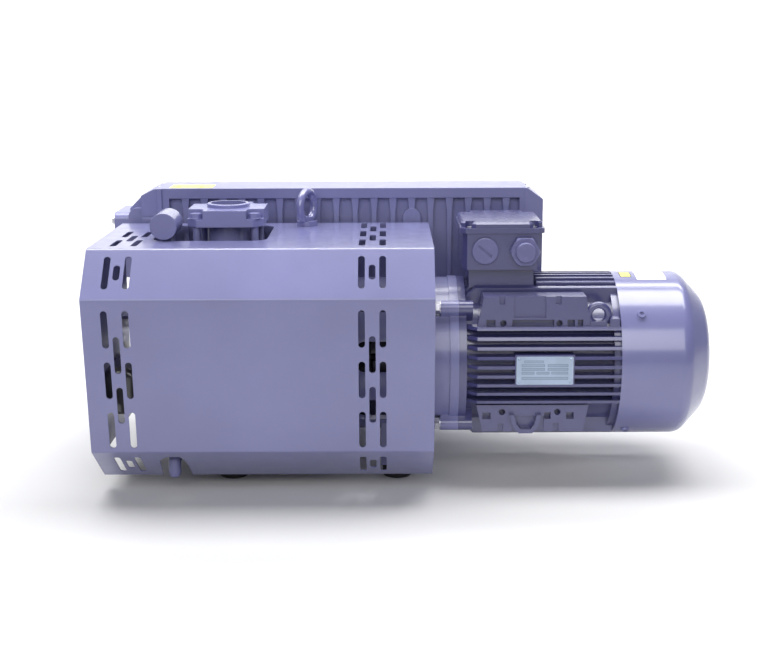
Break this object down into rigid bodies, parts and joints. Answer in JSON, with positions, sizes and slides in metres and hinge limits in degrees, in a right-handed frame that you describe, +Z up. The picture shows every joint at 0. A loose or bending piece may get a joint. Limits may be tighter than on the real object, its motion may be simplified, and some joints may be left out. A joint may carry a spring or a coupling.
{
  "type": "rotary vane vacuum pump",
  "caption": "Oil-lubricated rotary vane vacuum pump: direct-drive finned motor, ribbed oil separator, slotted sheet guard, threaded inlet flange on top, lifting eye.",
  "frame": {"origin": "centre of the footprint's bounding rectangle, on the floor under the rubber feet", "axes": "+X along the shaft from pump to motor, +Y back towards the oil separator, +Z up"},
  "size_m": [0.9925, 0.5498, 0.455],
  "materials": {
    "guard_paint": "semi-gloss purple-grey enamel",
    "cast_paint": "semi-gloss purple-grey enamel over fine cast texture",
    "motor_paint": "purple-grey enamel over die-cast aluminium",
    "cowl_paint": "semi-gloss purple-grey enamel on pressed sheet",
    "cast_bare": "machined grey iron",
    "steel": "ground steel",
    "bright_steel": "zinc-plated steel",
    "laminations": "stacked electrical sheet",
    "copper": "enamelled copper wire",
    "bronze": "bearing bronze",
    "rubber": "matt black",
    "composite": "carbon fibre composite",
    "plastic_black": "fine matt grain",
    "plastic_grey": "purple-grey moulding",
    "filter_media": "wound glass-fibre fleece",
    "float_metal": "drawn stainless sheet",
    "sight_glass": "clear lens",
    "plate_metal": "anodised rating plate, blank",
    "filter_can": "black enamel"
  },
  "bodies": {
    "pump_body": {"front_guard": "guard_paint", "guard_stays": "guard_paint", "button_screws": "guard_paint", "pump_cylinder": "cast_paint", "outer_end_plate": "cast_paint", "drive_end_plate": "cast_paint", "hex_bolts": "bright_steel", "bearing_cover": "cast_paint", "pump_bearings": "bronze", "shaft_seal": "rubber", "reed_stop": "steel", "inlet_flange": "cast_paint", "inlet_bolts": "cast_paint", "inlet_screen": "steel", "non_return_spring": "bright_steel", "ballast_filter": "guard_paint", "eye_bolt": "cast_paint", "separator_housing": "cast_paint", "separator_left_cover": "cast_paint", "separator_right_cover": "cast_paint", "cover_screws": "bright_steel", "exhaust_flange": "cast_paint", "exhaust_filters": "filter_media", "filter_springs": "steel", "oil_sight_glass": "sight_glass", "oil_fill_plug": "plastic_black", "oil_drain": "cast_paint", "oil_filter": "filter_can", "oil_pipe": "bright_steel", "rubber_feet": "rubber", "bell_housing": "cast_paint", "flange_bolts": "bright_steel", "motor_flange": "motor_paint", "motor_housing": "motor_paint", "stator_core": "laminations", "stator_windings": "copper", "motor_bearings": "bright_steel", "rear_shield": "motor_paint", "fan_cowl": "cowl_paint", "terminal_box": "motor_paint", "terminal_lid": "motor_paint", "lid_screws": "bright_steel", "round_plug": "plastic_grey", "hex_plug": "plastic_grey", "terminal_board": "plastic_black", "nameplate": "plate_metal"},
    "rotor": {"pump_rotor": "cast_bare", "pump_coupling_hub": "cast_bare", "coupling_spider": "rubber", "cooling_fan": "plastic_black"},
    "motor_shaft": {"motor_rotor": "steel", "motor_coupling_hub": "cast_bare", "motor_fan": "plastic_black"},
    "centring_plug": {"centring_plug": "steel"},
    "vane_1": {"vane_1": "composite"},
    "vane_2": {"vane_2": "composite"},
    "vane_3": {"vane_3": "composite"},
    "exhaust_reed": {"exhaust_reed": "steel"},
    "non_return_valve": {"non_return_valve": "steel"},
    "float_valve": {"float_valve": "float_metal"}
  },
  "joints": [
    {"name": "rotor_spin", "type": "hinge", "parent": "pump_body", "child": "rotor", "pos_m": [-0.2315, -0.0531, 0.193], "axis": [1, 0, 0], "continuous": true},
    {"name": "motor_spin", "type": "hinge", "parent": "pump_body", "child": "motor_shaft", "pos_m": [0.2235, -0.0531, 0.193], "axis": [1, 0, 0], "continuous": true},
    {"name": "centring_plug_spin", "type": "hinge", "parent": "pump_body", "child": "centring_plug", "pos_m": [-0.3965, -0.0531, 0.1865], "axis": [1, 0, 0], "continuous": true},
    {"name": "vane_1_slide", "type": "hinge", "parent": "centring_plug", "child": "vane_1", "pos_m": [-0.2315, -0.0531, 0.18], "axis": [1, 0, 0], "continuous": true},
    {"name": "vane_2_slide", "type": "hinge", "parent": "centring_plug", "child": "vane_2", "pos_m": [-0.2315, -0.05873, 0.18975], "axis": [1, 0, 0], "continuous": true},
    {"name": "vane_3_slide", "type": "hinge", "parent": "centring_plug", "child": "vane_3", "pos_m": [-0.2315, -0.04747, 0.18975], "axis": [1, 0, 0], "continuous": true},
    {"name": "reed_lift", "type": "hinge", "parent": "pump_body", "child": "exhaust_reed", "pos_m": [-0.2315, 0.0769, 0.22], "axis": [-1, 0, 0], "range_deg": [0, 14], "stiffness_Nm_per_rad": 0.5, "springref_deg": -5.73},
    {"name": "non_return_lift", "type": "slide", "parent": "pump_body", "child": "non_return_valve", "axis": [0, 0, -1], "range_m": [0, 0.01], "stiffness_N_per_m": 250, "springref_m": -0.012, "deforming": ["non_return_spring"]},
    {"name": "float_swing", "type": "hinge", "parent": "pump_body", "child": "float_valve", "pos_m": [-0.2565, 0.1789, 0.19], "axis": [0, -1, 0], "range_deg": [0, 30]}
  ],
  "couplings": [
    {"joint": "motor_spin", "follows": "rotor_spin", "ratio": 1},
    {"joint": "centring_plug_spin", "follows": "rotor_spin", "ratio": 2},
    {"joint": "vane_1_slide", "follows": "rotor_spin", "ratio": -1},
    {"joint": "vane_2_slide", "follows": "rotor_spin", "ratio": -1},
    {"joint": "vane_3_slide", "follows": "rotor_spin", "ratio": -1}
  ]
}
